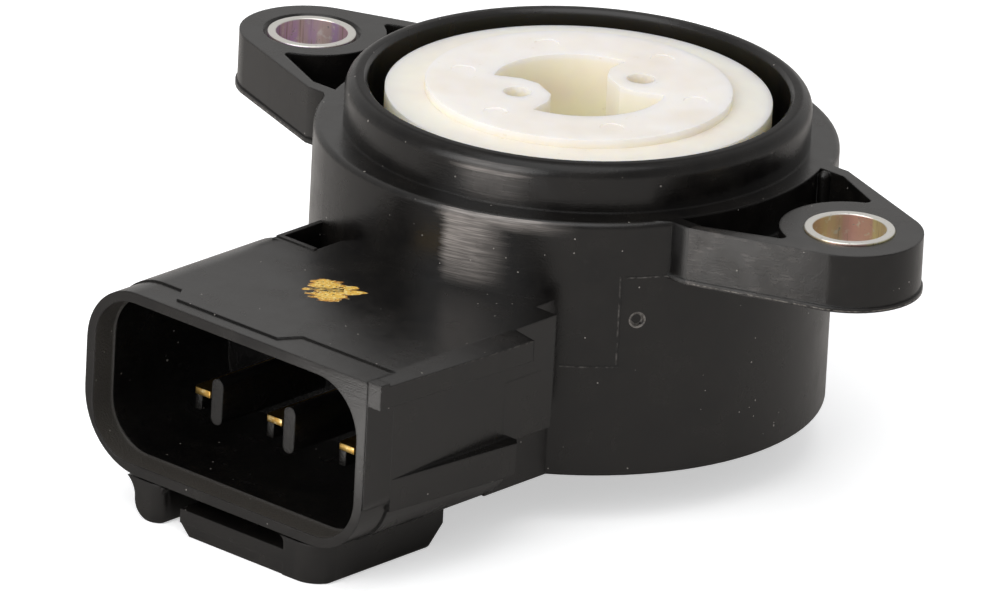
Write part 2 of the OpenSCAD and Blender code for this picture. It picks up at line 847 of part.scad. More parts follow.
module rotor() {
    color([0.93, 0.91, 0.84])
        difference() {
            union() {
                translate([0, 0, disc_z])
                    cylinder(d = face_d, h = face_z - disc_z);
                translate([0, 0, disc_z])
                    cylinder(d = rotor_d, h = disc_t);
                difference() {
                    translate([0, 0, skirt_z])
                        cylinder(d = rotor_d, h = disc_z - skirt_z + e);
                    translate([0, 0, skirt_z - e])
                        cylinder(d = rotor_d - 2 * skirt_t, h = disc_z - skirt_z + e);
                }
                translate([0, 0, hub_z])
                    cylinder(d = hub_d, h = disc_z - hub_z + e);
                translate([0, 0, journal_z])
                    cylinder(r = journal_r, h = hub_z - journal_z + e);
                translate([0, 0, tail_z])
                    cylinder(d = tail_d, h = tail_h + e);
                translate([0, 0, tail_z - stake_h])
                    cylinder(r1 = stake_r - 0.2, r2 = stake_r, h = stake_h);
            }
            translate([0, 0, face_z - drive_depth])
                linear_extrude(drive_depth + e)
                    drive_plan();
            for (s = [0, 180])
                rotate([0, 0, tooth_turn + s])
                    translate([tooth_hole_at, 0, face_z - tooth_hole_depth])
                        cylinder(d = tooth_hole_d, h = tooth_hole_depth + e);
            for (i = [0:mark_count - 1])
                rotate([0, 0, mark_turn + i * 360 / mark_count])
                    translate([ejector_at, 0, face_z - ejector_depth])
                        cylinder(d = ejector_d, h = ejector_depth + e);
            translate([0, 0, ring_top - ring_t])
                difference() {
                    cylinder(r = journal_r + e, h = ring_t);
                    translate([0, 0, -e])
                        cylinder(r = journal_r - ring_groove, h = ring_t + 2 * e);
                }
        }
}

// Ring of points round p, square to the wire; a is the angle round the axis and tilt turns the ring
// from square to the coil, at 0, to square to the upright leg, at 90
function wire_ring(p, a, tilt, t, sides) =
    [for (k = [0:sides - 1])
        let (u = t / 2 * cos(k * 360 / sides), v = t / 2 * sin(k * 360 / sides))
        [p[0] + u * cos(a) + v * sin(tilt) * sin(a), p[1] + u * sin(a) - v * sin(tilt) * cos(a),
         p[2] + v * cos(tilt)]];

// Point at distance along from the coil's start, on the tangent at angle a
function off_tangent(r, a, along, z) = [r * cos(a) - along * sin(a), r * sin(a) + along * cos(a), z];

// Torsion spring: a leg that stands in its hole, a quarter bend and the coils
module coil_spring(r, t, pitch, turns, a0, z0, leg_end) {
    sides = 10;
    steps = ceil(turns * 24);
    bend = t;
    bends = 5;
    leg = [each wire_ring(off_tangent(r, a0, -bend, leg_end), a0, 90, t, sides),
           for (i = [0:bends - 1])
               let (tilt = 90 - i * 90 / bends)
               each wire_ring(off_tangent(r, a0, -bend * sin(tilt), z0 - bend * (1 - cos(tilt))), a0, tilt, t,
                              sides)];
    coil = [for (i = [0:steps])
        let (a = a0 + i * 360 * turns / steps)
        each wire_ring([r * cos(a), r * sin(a), z0 + i * pitch * turns / steps], a, 0, t, sides)];
    points = concat(leg, coil);
    rings = bends + 2 + steps;
    skin = [for (i = [0:rings - 2], k = [0:sides - 1])
        [i * sides + k, (i + 1) * sides + k, (i + 1) * sides + (k + 1) % sides, i * sides + (k + 1) % sides]];
    polyhedron(points, concat(skin, [[for (k = [sides - 1:-1:0]) (rings - 1) * sides + k]],
                              [[for (k = [0:sides - 1]) k]]), convexity = 6);
}

module return_spring() {
    color([0.62, 0.62, 0.64])
        coil_spring(spring_r, spring_wire, spring_pitch, spring_turns, spring_foot_turn, spring_z,
                    web_top - spring_leg + 0.1);
}

module thrust_washer() {
    color([0.75, 0.66, 0.4])
        translate([0, 0, web_top])
            difference() {
                cylinder(d = thrust_d, h = thrust_t);
                translate([0, 0, -e])
                    cylinder(r = bore_r + 0.2, h = thrust_t + 2 * e);
            }
}

// A thin ring whose strip rises and falls three times round the journal
module wave_washer() {
    steps = 48;
    waves = 3;
    inner = bore_r + 0.25;
    outer = wave_d / 2;
    low = wave_top - wave_h - wave_t;
    function lift(i) = low + wave_h * (0.5 + 0.5 * cos(waves * i * 360 / steps));
    points = [for (i = [0:steps - 1])
        let (a = i * 360 / steps, z = lift(i))
        each [[inner * cos(a), inner * sin(a), z], [outer * cos(a), outer * sin(a), z],
              [outer * cos(a), outer * sin(a), z + wave_t], [inner * cos(a), inner * sin(a), z + wave_t]]];
    faces = [for (i = [0:steps - 1], k = [0:3])
        let (n = (i + 1) % steps)
        [i * 4 + k, i * 4 + (k + 1) % 4, n * 4 + (k + 1) % 4, n * 4 + k]];
    color([0.7, 0.7, 0.72])
        polyhedron(points, faces, convexity = 4);
}

module retaining_ring() {
    color([0.55, 0.55, 0.57])
        translate([0, 0, ring_top - ring_t])
            difference() {
                cylinder(d = ring_d, h = ring_t);
                translate([0, 0, -e])
                    cylinder(r = journal_r - ring_groove, h = ring_t + 2 * e);
                translate([-ring_d, -journal_r * 0.75, -e])
                    cube([ring_d, journal_r * 1.5, ring_t + 2 * e]);
            }
}

module carrier_plan() {
    circle(carrier_r);
    rotate([0, 0, carrier_turn])
        translate([0, -carrier_w / 2])
            square([carrier_reach, carrier_w]);
}

module brush_carrier() {
    color([0.24, 0.23, 0.22])
        translate([0, 0, tail_z])
            difference() {
                linear_extrude(tail_h)
                    carrier_plan();
                translate([0, 0, -e])
                    cylinder(d = tail_d, h = tail_h + 2 * e);
            }
}

// One stamped strip with two fingers that bend down to the two tracks
module contact_brush() {
    drop = tail_z - track_top - brush_gap;
    run = carrier_w / 2 + 2.4;
    inner = stake_r + 0.4;
    color([0.84, 0.76, 0.55])
        rotate([0, 0, carrier_turn]) {
            translate([inner, -carrier_w / 2, tail_z - brush_t])
                cube([carrier_reach - inner, carrier_w, brush_t]);
            for (r = [track_r, collector_r])
                translate([r - brush_w / 2, 0, tail_z])
                    rotate([90, 0, 90])
                        linear_extrude(brush_w)
                            polygon([[carrier_w / 2 - 0.1, 0], [carrier_w / 2 - 0.1, -brush_t],
                                     [run, -drop], [run + 0.5, -drop], [run + 0.9, -drop + 0.4],
                                     [run + 0.9, -drop + 0.4 + brush_t], [run + 0.5, -drop + brush_t],
                                     [run + 0.1, -drop + brush_t], [carrier_w / 2 + 0.2, 0]]);
        }
}

module resistor_board() {
    color([0.86, 0.84, 0.78])
        translate([0, 0, board_top - board_t])
            cylinder(d = board_d, h = board_t);
}

// Ring segment of the track's width, open towards the terminals
module track(r) {
    span = track_angle / 2;
    far = 2 * board_d;
    translate([0, 0, board_top])
        linear_extrude(track_t)
            intersection() {
                difference() {
                    circle(r + track_w / 2);
                    circle(r - track_w / 2);
                }
                rotate([0, 0, 90])
                    polygon([[0, 0], far * [cos(span), -sin(span)], far * [cos(span / 2), -sin(span / 2)],
                             [far, 0], far * [cos(span / 2), sin(span / 2)], far * [cos(span), sin(span)]]);
            }
}

module resistive_track() {
    color([0.1, 0.1, 0.1])
        track(track_r);
}

module collector_track() {
    color([0.72, 0.7, 0.66])
        track(collector_r);
}

module rear_cover() {
    step = seal_t + cover_inset;
    rib = board_top - board_t - cover_top;
    color([0.14, 0.14, 0.14])
        translate([0, 0, back_z + cover_inset]) {
            cylinder(d = cover_seat_d - 2 * seal_w, h = cover_t);
            translate([0, 0, step - cover_inset])
                cylinder(d = cover_seat_d, h = cover_t - step + cover_inset);
            translate([0, 0, cover_t])
                difference() {
                    cylinder(d = board_d - 1.6, h = rib);
                    translate([0, 0, -e])
                        cylinder(d = board_d - 4, h = rib + 2 * e);
                }
        }
}

module rear_sealant() {
    color([0.22, 0.22, 0.2])
        translate([0, 0, back_z + cover_inset])
            difference() {
                cylinder(d = cover_seat_d, h = seal_t);
                translate([0, 0, -e])
                    cylinder(d = cover_seat_d - 2 * seal_w, h = seal_t + 2 * e);
            }
}

housing();
bush(-1, 0);  // bush_left
bush(1, bush_rise);  // bush_right
terminal(-1);  // terminal_left
terminal(0);  // terminal_middle
terminal(1);  // terminal_right
rotor();
return_spring();
thrust_washer();
wave_washer();
retaining_ring();
brush_carrier();
contact_brush();
resistor_board();
resistive_track();
collector_track();
solder(-1);  // solder_left
solder(0);  // solder_middle
solder(1);  // solder_right
rear_cover();
rear_sealant();
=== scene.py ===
"""Throttle position sensor: moulded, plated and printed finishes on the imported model."""
import json
import math
from collections import namedtuple

import bmesh
import bpy
from mathutils import Matrix, Vector


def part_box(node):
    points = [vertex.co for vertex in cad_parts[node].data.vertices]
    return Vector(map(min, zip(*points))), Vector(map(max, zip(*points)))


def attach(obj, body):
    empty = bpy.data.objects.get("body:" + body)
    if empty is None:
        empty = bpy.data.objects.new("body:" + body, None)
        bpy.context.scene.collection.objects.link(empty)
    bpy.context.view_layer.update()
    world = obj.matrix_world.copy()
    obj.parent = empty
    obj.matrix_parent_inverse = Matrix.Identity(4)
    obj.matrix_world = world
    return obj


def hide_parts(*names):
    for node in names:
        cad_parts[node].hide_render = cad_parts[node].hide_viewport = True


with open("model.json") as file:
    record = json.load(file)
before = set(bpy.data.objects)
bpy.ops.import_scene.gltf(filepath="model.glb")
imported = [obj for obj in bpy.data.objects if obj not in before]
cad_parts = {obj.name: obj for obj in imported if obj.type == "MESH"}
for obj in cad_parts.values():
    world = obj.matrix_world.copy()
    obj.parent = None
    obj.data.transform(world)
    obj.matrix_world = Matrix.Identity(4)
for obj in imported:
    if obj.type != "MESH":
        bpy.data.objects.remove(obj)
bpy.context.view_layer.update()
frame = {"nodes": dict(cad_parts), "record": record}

MM = 0.001
RECORD = frame["record"]
BODY_OF = {node: body for body, nodes in RECORD["behaviour"]["bodies"].items() for node in nodes}
FLOOR_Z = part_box("housing")[0].z - 0.05 * MM

# The camera's place round the rotor axis, fitted to the ellipses of the body, spigot and ear holes
CAMERA_AZIMUTH = 41.39
CAMERA_ELEVATION = 21.39
CAMERA_ROLL = -2.97
CAMERA_DISTANCE = 1298.5 * MM
CAMERA_AIM_ACROSS = -5.63 * MM
CAMERA_AIM_UP = -15.13 * MM
SENSOR_WIDTH = 36.0
LENS_PER_SENSOR = 15.65758

# Sizes in mm that the marks on the moulding are laid out from; heights are above the mounting face
BODY_R = 21.78
SPIGOT_R = 19.34
SPIGOT_TOP = 3.98
SPIGOT_TOP_R = 19.09
SOCKET_TOP = -6.75
SOCKET_MIDDLE_X = 0.22
SOCKET_MIDDLE_Z = -14.8
SOCKET_SIDE_X = 15.85
MOUTH_Y = -41.83
EAR_FOOT_Z = -4.83
LEDGE_EDGE_Z = -7.2
HOLE_X = 30.0
# The right ear's near side: the way it faces, and how far out it lies that way
EAR_FACE_OUT = (0.39, -0.92, 0)
EAR_FACE_AT = 17.35
# Witness lines: the insert's outline on the body, in heights and in degrees from +X, and the seam on the side
INSERT_TOP_Z = -4.6
INSERT_FOOT_Z = -12.4
INSERT_TURN = -37.4
SIDE_SEAM_Y = -25.3
PIN_MARK = (18.14, -12.05, -8.41)
# The paint dab: its middle on the Y axis, the cosine and sine of its turn, and its blots, each with its
# place and its half sizes along and across the dab
DAB_Y = -29.4
DAB_TURN = (0.74, 0.67)
DAB_BLOTS = ((-0.35, 1.1, 1.5, 1.2), (-0.1, -1.2, 1.6, 1.3), (0.1, -0.1, 1.7, 0.8), (1.7, 0.6, 0.8, 0.35),
             (1.9, -0.45, 1.0, 0.55), (-1.8, 0.0, 0.6, 0.3))
# Rounding of the mould's edges, and of the two that it leaves fuller
EDGE_ROUNDING = 0.25
BODY_RIM_ROUNDING = 0.5
SPIGOT_RIM_ROUNDING = 0.9
# How a CAD mesh is cleaned and softened: points this close are one, faces that bend less than the flat angle
# are merged and edges that bend more than the sharp angle are rounded, both in degrees
SAME_POINT = 0.002
SHARP_ANGLE = 28
FLAT_ANGLE = 0.6

# The staging: what the lamps face, the floor's half width, and the bright patch on it, all in metres
PART_MIDDLE = Vector((0, -0.01, -0.01))
FLOOR_HALF = 3
LIT_PATCH = ((-0.018, -0.135), (0.036, -0.06))

Place = namedtuple("Place", "where x y z radius degrees unrolled normal on_body on_spigot")


def linear(code, alpha=1.0):
    """A colour written as an sRGB hex value, as the linear tuple that a shader takes."""
    parts = [int(code[i:i + 2], 16) / 255 for i in (1, 3, 5)]
    return tuple(c / 12.92 if c <= 0.04045 else ((c + 0.055) / 1.055) ** 2.4 for c in parts) + (alpha,)


def direction(azimuth, elevation):
    """Unit vector from the object towards a viewer; azimuth 0 stands in front, at -Y."""
    a, e = math.radians(azimuth), math.radians(elevation)
    return Vector((math.sin(a) * math.cos(e), -math.cos(a) * math.cos(e), math.sin(e)))


def place_camera():
    """The photo's camera: a long lens, slightly rolled."""
    back = direction(CAMERA_AZIMUTH, CAMERA_ELEVATION)
    across = direction(CAMERA_AZIMUTH + 90, 0)
    rise = back.cross(across)
    roll = math.radians(CAMERA_ROLL)
    right = across * math.cos(roll) - rise * math.sin(roll)
    up = across * math.sin(roll) + rise * math.cos(roll)
    spot = across * CAMERA_AIM_ACROSS + Vector((0, 0, CAMERA_AIM_UP)) + back * CAMERA_DISTANCE
    data = bpy.data.cameras.new("photo_camera")
    data.sensor_width = SENSOR_WIDTH
    data.lens = LENS_PER_SENSOR * SENSOR_WIDTH
    data.clip_start = 0.05
    camera = bpy.data.objects.new("photo_camera", data)
    bpy.context.scene.collection.objects.link(camera)
    camera.matrix_world = Matrix((right, up, back)).transposed().to_4x4()
    camera.matrix_world.translation = spot
    bpy.context.scene.camera = camera


def add(tree, kind, inputs=None, **settings):
    """Add a node; each input is given a value or the socket that it is linked from."""
    made = tree.nodes.new(kind)
    for name, value in settings.items():
        setattr(made, name, value)
    for name, value in (inputs or {}).items():
        if isinstance(value, bpy.types.NodeSocket):
            tree.links.new(value, made.inputs[name])
        else:
            made.inputs[name].default_value = value
    return made


def new_material(name):
    """An empty node material with its output, ready for one shader."""
    material = bpy.data.materials.new(name)
    material.use_nodes = True
    tree = material.node_tree
    tree.nodes.clear()
    return material, tree, add(tree, "ShaderNodeOutputMaterial")


def millimetres(tree):
    """Object coordinates in mm, as one vector and as x, y and z."""
    place = add(tree, "ShaderNodeTexCoord")
    scaled = add(tree, "ShaderNodeVectorMath", {0: place.outputs["Object"], "Scale": 1000.0}, operation="SCALE")
    parts = add(tree, "ShaderNodeSeparateXYZ", {0: scaled.outputs[0]})
    return scaled.outputs[0], parts.outputs[0], parts.outputs[1], parts.outputs[2]


def cloud(tree, where, size, low=0.35, high=0.65, detail=2.0):
    """Soft patches about size mm across, from 0 to 1."""
    noise = add(tree, "ShaderNodeTexNoise", {"Vector": where, "Scale": 1 / size, "Detail": detail, "Roughness": 0.6})
    return add(tree, "ShaderNodeMapRange", {0: noise.outputs[0], 1: low, 2: high}).outputs[0]


def scratches(tree, where, stretch, low, high):
    """Fine lines; stretch gives the length in mm of the pattern's grain along each axis."""
    squeezed = add(tree, "ShaderNodeVectorMath", {0: where, 1: [1 / s for s in stretch]}, operation="MULTIPLY")
    return cloud(tree, squeezed.outputs[0], 1.0, low, high)


def specks(tree, where, spacing, radius, share):
    """Round specks of one radius in a share of the cells, spacing mm apart."""
    cells = add(tree, "ShaderNodeTexVoronoi", {"Vector": where, "Scale": 1 / spacing})
    dot = add(tree, "ShaderNodeMath", {0: cells.outputs["Distance"], 1: radius / spacing}, operation="LESS_THAN")
    chance = add(tree, "ShaderNodeSeparateColor", {0: cells.outputs["Color"]})
    pick = add(tree, "ShaderNodeMath", {0: chance.outputs[0], 1: share}, operation="LESS_THAN")
    return add(tree, "ShaderNodeMath", {0: dot.outputs[0], 1: pick.outputs[0]}, operation="MULTIPLY").outputs[0]


def stroke(tree, across, at, half_width, along, start, end):
    """1 within half_width of at, measured across, where along lies between start and end."""
    near = add(tree, "ShaderNodeMath", {0: across, 1: at, 2: half_width}, operation="COMPARE")
    inside = add(tree, "ShaderNodeMath", {0: along, 1: (start + end) / 2, 2: abs(end - start) / 2},
                 operation="COMPARE")
    return add(tree, "ShaderNodeMath", {0: near.outputs[0], 1: inside.outputs[0]}, operation="MULTIPLY").outputs[0]


def any_of(tree, *masks):
    """The strongest of several masks."""
    result = masks[0]
    for mask in masks[1:]:
        result = add(tree, "ShaderNodeMath", {0: result, 1: mask}, operation="MAXIMUM").outputs[0]
    return result


def overlap(tree, *masks):
    """Where all of several masks hold."""
    result = masks[0]
    for mask in masks[1:]:
        result = add(tree, "ShaderNodeMath", {0: result, 1: mask}, operation="MULTIPLY").outputs[0]
    return result


def faded(tree, *slopes):
    """Where all slopes hold; each is a value, its start and its end, and may add its levels at start and end."""
    result = None
    for value, start, end, *levels in slopes:
        low, high = levels or (0.0, 1.0)
        slope = add(tree, "ShaderNodeMapRange", {0: value, 1: start, 2: end, 3: low, 4: high},
                    interpolation_type="SMOOTHSTEP").outputs[0]
        result = slope if result is None else overlap(tree, result, slope)
    return result


def layered(tree, base, *coats):
    """A base colour with coats laid over it in turn, each a colour and the mask that it covers."""
    result = base
    for colour, mask in coats:
        result = add(tree, "ShaderNodeMix", {0: mask, 6: result, 7: colour}, data_type="RGBA").outputs[2]
    return result


def finish(tree, output, colour, roughness, height, depth=0.01, rounded=None, **more):
    """Close a material with one shader; height, 0 to 1, stands depth mm high on the rounded normal."""
    shader = add(tree, "ShaderNodeBsdfPrincipled", {"Base Color": colour, "Roughness": roughness, **more})
    bump = add(tree, "ShaderNodeBump", {"Strength": 1.0, "Distance": depth * MM, "Height": height})
    if rounded is not None:
        tree.links.new(rounded, bump.inputs["Normal"])
    tree.links.new(bump.outputs[0], shader.inputs["Normal"])
    tree.links.new(shader.outputs[0], output.inputs[0])


def moulding_place(tree):
    """Where a point of the moulding lies, in mm and in degrees round the rotor's axis."""
    where, x, y, z = millimetres(tree)
    flat = add(tree, "ShaderNodeCombineXYZ", {0: x, 1: y})
    radius = add(tree, "ShaderNodeVectorMath", {0: flat.outputs[0]}, operation="LENGTH").outputs["Value"]
    turn = add(tree, "ShaderNodeMath", {0: y, 1: x}, operation="ARCTAN2").outputs[0]
    return Place(
        where=where, x=x, y=y, z=z, radius=radius,
        degrees=add(tree, "ShaderNodeMath", {0: turn}, operation="DEGREES").outputs[0],
        unrolled=add(tree, "ShaderNodeCombineXYZ", {0: turn, 1: radius, 2: z}).outputs[0],
        normal=add(tree, "ShaderNodeNewGeometry").outputs["Normal"],
        on_body=add(tree, "ShaderNodeMath", {0: radius, 1: BODY_R, 2: 0.2}, operation="COMPARE").outputs[0],
        on_spigot=add(tree, "ShaderNodeMath", {0: radius, 1: SPIGOT_R, 2: 0.25}, operation="COMPARE").outputs[0])


def rounded_edges(tree, at):
    """The normal as if the mould's edges were rounded, and a mask of those edges."""
    rounded = add(tree, "ShaderNodeBevel", {"Radius": EDGE_ROUNDING * MM}, samples=2).outputs[0]
    leaning = add(tree, "ShaderNodeVectorMath", {0: rounded, 1: at.normal}, operation="DOT_PRODUCT").outputs["Value"]
    # The body's foot on the socket's top is sharp
    foot_ring = add(tree, "ShaderNodeMath", {0: at.radius, 1: BODY_R, 2: 0.5}, operation="COMPARE").outputs[0]
    foot = overlap(tree, foot_ring, stroke(tree, at.z, SOCKET_TOP, 0.4, at.y, -22.4, -14.0))
    sharp_foot = add(tree, "ShaderNodeMix", {0: foot, 4: rounded, 5: at.normal}, data_type="VECTOR").outputs[1]
    return sharp_foot, faded(tree, (leaning, 0.985, 0.86))


def rubbed_walls_and_highlights(tree, at, lines, broad):
    """Circumferential rubbing on the round walls beside the socket, in fine lines with ragged ends, that carries
    painted highlights: a soft painted highlight band on the body and on the spigot's wall, and painted highlight
    lines along the body's rim and round the spigot's ring; each patch is laid out in degrees from +X and in heights."""
    ragged = scratches(tree, at.unrolled, (0.3, 2.0, 0.22), 0.3, 0.7)
    turn = add(tree, "ShaderNodeMath", {0: ragged, 1: 1.4, 2: at.degrees}, operation="MULTIPLY_ADD").outputs[0]
    # Painted highlights: a soft band on the body and the spigot's wall, and lines along the body's rim and round the
    # spigot's ring
    body_highlight_patch = faded(tree, (turn, -78.0, -75.4), (turn, -60.5, -69), (at.z, -6.9, -5.2),
                       (at.z, -0.3, -1.2, 0.75, 1.0), (at.z, -6.0, -2.6, 0.55, 1.0),
                       (at.degrees, -66, -74, 0.7, 1.0))
    body_rim_highlight = faded(tree, (turn, -80, -74), (turn, -46, -60), (at.z, -1.5, -0.4, 0.0, 0.8))
    spigot_highlight_patch = faded(tree, (turn, -80, -72), (turn, -56, -66), (at.z, -0.5, 2.0, 0.06, 0.22))
    spigot_ring_highlight = faded(tree, (turn, -82, -72), (turn, -57, -64), (at.z, 2.45, 2.6), (at.z, 2.95, 2.8, 0.0, 0.8))
    rubbed_and_highlit = any_of(tree, overlap(tree, at.on_body, any_of(tree, body_highlight_patch, body_rim_highlight)),
                    overlap(tree, at.on_spigot, any_of(tree, spigot_highlight_patch, spigot_ring_highlight)))
    streaks = add(tree, "ShaderNodeMath", {0: lines, 1: 0.55, 2: 0.45}, operation="MULTIPLY_ADD").outputs[0]
    return overlap(tree, rubbed_and_highlit, streaks, faded(tree, (broad, 0.0, 1.0, 0.75, 1.0)))


def rubbed_ear_and_highlight(tree, at):
    """Short scratches on the right ear's near side, handled most, that fade towards its round end; they carry a
    painted reflection that lightens the face, and a painted highlight that is strongest by the ear's root.
    """
    out = add(tree, "ShaderNodeVectorMath", {0: at.where, 1: EAR_FACE_OUT}, operation="DOT_PRODUCT").outputs["Value"]
    lines = scratches(tree, at.where, (1.2, 1.2, 0.28), 0.52, 0.75)
    return overlap(tree, stroke(tree, out, EAR_FACE_AT, 0.7, at.x, 21.3, 35.0), cloud(tree, at.where, 1.6, 0.3, 0.65),
                   faded(tree, (lines, 0.0, 1.0, 0.1, 0.42), (at.x, 33.5, 28.5), (at.x, 24.0, 21.9, 0.85, 2.1)))


def inside_socket(tree, at):
    """The socket's inner faces: those that look towards its middle or out of its mouth."""
    out = add(tree, "ShaderNodeVectorMath", {0: at.where, 1: (SOCKET_MIDDLE_X, 0, SOCKET_MIDDLE_Z)},
              operation="SUBTRACT").outputs[0]
    out = add(tree, "ShaderNodeVectorMath", {0: out, 1: (1, 0, 1)}, operation="MULTIPLY").outputs[0]
    facing = add(tree, "ShaderNodeVectorMath", {0: out, 1: at.normal}, operation="DOT_PRODUCT").outputs["Value"]
    facing_in = add(tree, "ShaderNodeMath", {0: facing, 1: 0.5}, operation="LESS_THAN").outputs[0]
    return overlap(tree, stroke(tree, at.x, SOCKET_MIDDLE_X, 14.8, at.z, -22.0, -7.6), facing_in,
                   faded(tree, (at.y, MOUTH_Y, MOUTH_Y + 0.1)))


def worn_edges(tree, at, edge, inside):
    """Edges that wear against packing: the ears' lower edge, though not their underside, and the ledge's outer edge."""
    side = add(tree, "ShaderNodeMath", {0: at.x}, operation="ABSOLUTE").outputs[0]
    ear_edge = stroke(tree, at.z, EAR_FOOT_Z + 0.075, 0.055, side, 21.5, 37.0)
    ledge_edge = overlap(tree, stroke(tree, at.z, LEDGE_EDGE_Z, 0.12, at.y, MOUTH_Y, -24.5), edge,
                         faded(tree, (at.x, 16.9, 17.1)))
    outside = add(tree, "ShaderNodeMath", {0: 1.0, 1: inside}, operation="SUBTRACT").outputs[0]
    return overlap(tree, any_of(tree, ear_edge, ledge_edge), cloud(tree, at.where, 0.4, 0.4, 0.62), outside)


def witness_lines(tree, at):
    """Dark lines where the mould's inserts meet, and the light rims of those on the body."""
    on_body, rims = [], []
    for across, place, half, rim_place, rim_half, along, start, end in (
            (at.z, INSERT_TOP_Z, 0.05, -4.72, 0.06, at.degrees, -36.8, -24),
            (at.degrees, INSERT_TURN, 0.15, -37.75, 0.18, at.z, -12.48, INSERT_TOP_Z),
            (at.z, INSERT_FOOT_Z, 0.06, -12.52, 0.06, at.degrees, -50, INSERT_TURN)):
        on_body.append(stroke(tree, across, place, half, along, start, end))
        rims.append(stroke(tree, across, rim_place, rim_half, along, start, end))
    on_leg = overlap(tree, stroke(tree, at.x, 8.5, 0.07, at.z, -26.3, -23.6), faded(tree, (at.y, -40.5, -41)))
    on_side = overlap(tree, stroke(tree, at.x, SOCKET_SIDE_X, 0.2, at.y, -26, -20), any_of(
        tree, stroke(tree, at.z, -11.2, 0.05, at.y, SIDE_SEAM_Y, -21.0),
        stroke(tree, at.y, SIDE_SEAM_Y, 0.05, at.z, -16.5, -11.2)))
    return (any_of(tree, overlap(tree, at.on_body, any_of(tree, *on_body)), on_leg, on_side),
            overlap(tree, at.on_body, cloud(tree, at.where, 0.6, 0.42, 0.66), any_of(tree, *rims)))


def paint_dab(tree, at):
    """The dab on the socket's top, its mask and its colour: blots with a ragged edge, scratched across."""
    across, back = DAB_TURN
    aside, away = (add(tree, "ShaderNodeVectorMath", {0: at.where, 1: way}, operation="DOT_PRODUCT").outputs["Value"]
                   for way in ((across, back, 0), (-back, across, 0)))
    middle_aside, middle_away = DAB_Y * back, DAB_Y * across
    spot = add(tree, "ShaderNodeCombineXYZ", {0: aside, 1: away}).outputs[0]
    wobble = add(tree, "ShaderNodeVectorMath", {0: spot, 1: (0.9, 1.5, 1)}, operation="MULTIPLY").outputs[0]
    wobble = add(tree, "ShaderNodeTexNoise", {"Vector": wobble, "Scale": 1.0, "Detail": 2.0}).outputs[0]
    nearest = None
    for shift_aside, shift_away, half_aside, half_away in DAB_BLOTS:
        centred = add(tree, "ShaderNodeVectorMath",
                      {0: spot, 1: (middle_aside + shift_aside, middle_away + shift_away, 0)}, operation="SUBTRACT")
        scaled = add(tree, "ShaderNodeVectorMath", {0: centred.outputs[0], 1: (1 / half_aside, 1 / half_away, 1)},
                     operation="MULTIPLY")
        reach = add(tree, "ShaderNodeVectorMath", {0: scaled.outputs[0]}, operation="LENGTH").outputs["Value"]
        nearest = reach if nearest is None else add(tree, "ShaderNodeMath", {0: nearest, 1: reach},
                                                    operation="MINIMUM").outputs[0]
    ragged = add(tree, "ShaderNodeMath", {0: wobble, 1: 1.6, 2: nearest}, operation="MULTIPLY_ADD").outputs[0]
    # A band across its middle is scratched down to the moulding
    streak = stroke(tree, away, middle_away, 0.42, aside, middle_aside - 1.7, middle_aside + 1.1)
    bare = any_of(tree, overlap(tree, streak, scratches(tree, spot, (0.7, 0.16, 1), 0.42, 0.56)),
                  cloud(tree, spot, 0.28, 0.62, 0.67))
    kept = add(tree, "ShaderNodeMath", {0: 1.0, 1: bare}, operation="SUBTRACT").outputs[0]
    on_top = add(tree, "ShaderNodeMath", {0: at.z, 1: SOCKET_TOP, 2: 0.2}, operation="COMPARE").outputs[0]
    paint = layered(tree, linear("#B0701F"), (linear("#E6B84C"), faded(tree, (ragged, 1.82, 1.5))),
                    (linear("#F6E096"), cloud(tree, spot, 0.3, 0.52, 0.62)),
                    (linear("#A8742A"), cloud(tree, spot, 0.42, 0.6, 0.68)))
    return overlap(tree, faded(tree, (ragged, 1.86, 1.74)), kept, on_top), paint


